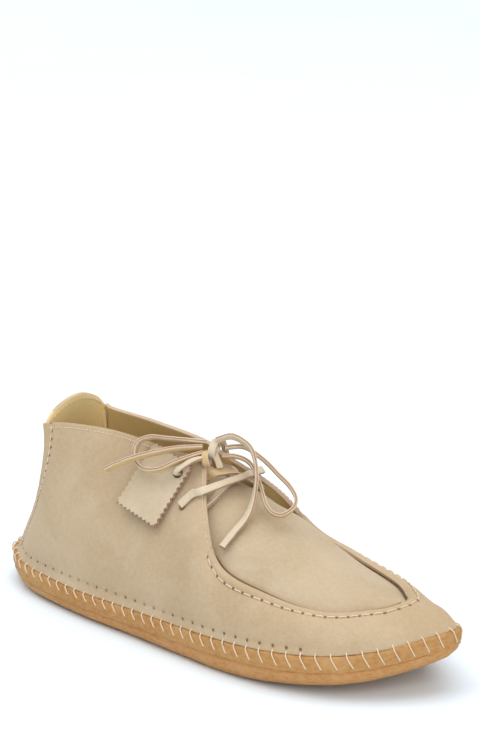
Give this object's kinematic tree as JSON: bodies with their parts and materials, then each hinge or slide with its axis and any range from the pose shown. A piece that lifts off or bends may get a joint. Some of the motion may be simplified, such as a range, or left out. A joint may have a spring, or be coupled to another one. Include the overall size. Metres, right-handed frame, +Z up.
{
  "type": "moccasin",
  "caption": "Ankle-high suede moccasin with a sewn apron, rawhide laces tied in a bow, a stitched two-layer crepe sole and a leather hang tag.",
  "frame": {"origin": "middle of the shoe's box on the ground plane under the sole, measured without the tied lace", "axes": "+X from the heel to the toe, +Y towards the inner side of the foot, +Z up"},
  "size_m": [0.2884, 0.1024, 0.1079],
  "materials": {
    "suede": "napped suede, matt",
    "grain_leather": "smooth golden grain, satin",
    "insole_board": "plain fibre board, matt",
    "crepe": "natural crepe, crinkled and matt",
    "lace_leather": "rawhide strip, one face suede and one face smooth",
    "tag_suede": "thin suede with pinked edges",
    "thread": "waxed twisted thread"
  },
  "bodies": {
    "shoe": {"crepe_midsole": "crepe", "crepe_outsole": "crepe", "insole_board": "insole_board", "sock_liner": "grain_leather", "vamp_and_quarters": "suede", "heel_piece": "suede", "apron_and_tongue": "suede", "lace_lower_bar": "lace_leather", "lace_cross_near": "lace_leather", "lace_cross_far": "lace_leather", "lace_riser_near": "lace_leather", "lace_riser_far": "lace_leather", "lace_knot": "lace_leather", "lace_loop_left": "lace_leather", "lace_loop_right": "lace_leather", "lace_end_left": "lace_leather", "lace_end_right": "lace_leather"},
    "tag": {"hang_tag_back": "tag_suede", "hang_tag_front": "tag_suede"}
  },
  "joints": [
    {"name": "tag_swing", "type": "hinge", "parent": "shoe", "child": "tag", "pos_m": [-0.01237, -0.01715, 0.08518], "axis": [0.1002, -0.8415, 0.5309], "range_deg": [-6, 15]}
  ]
}
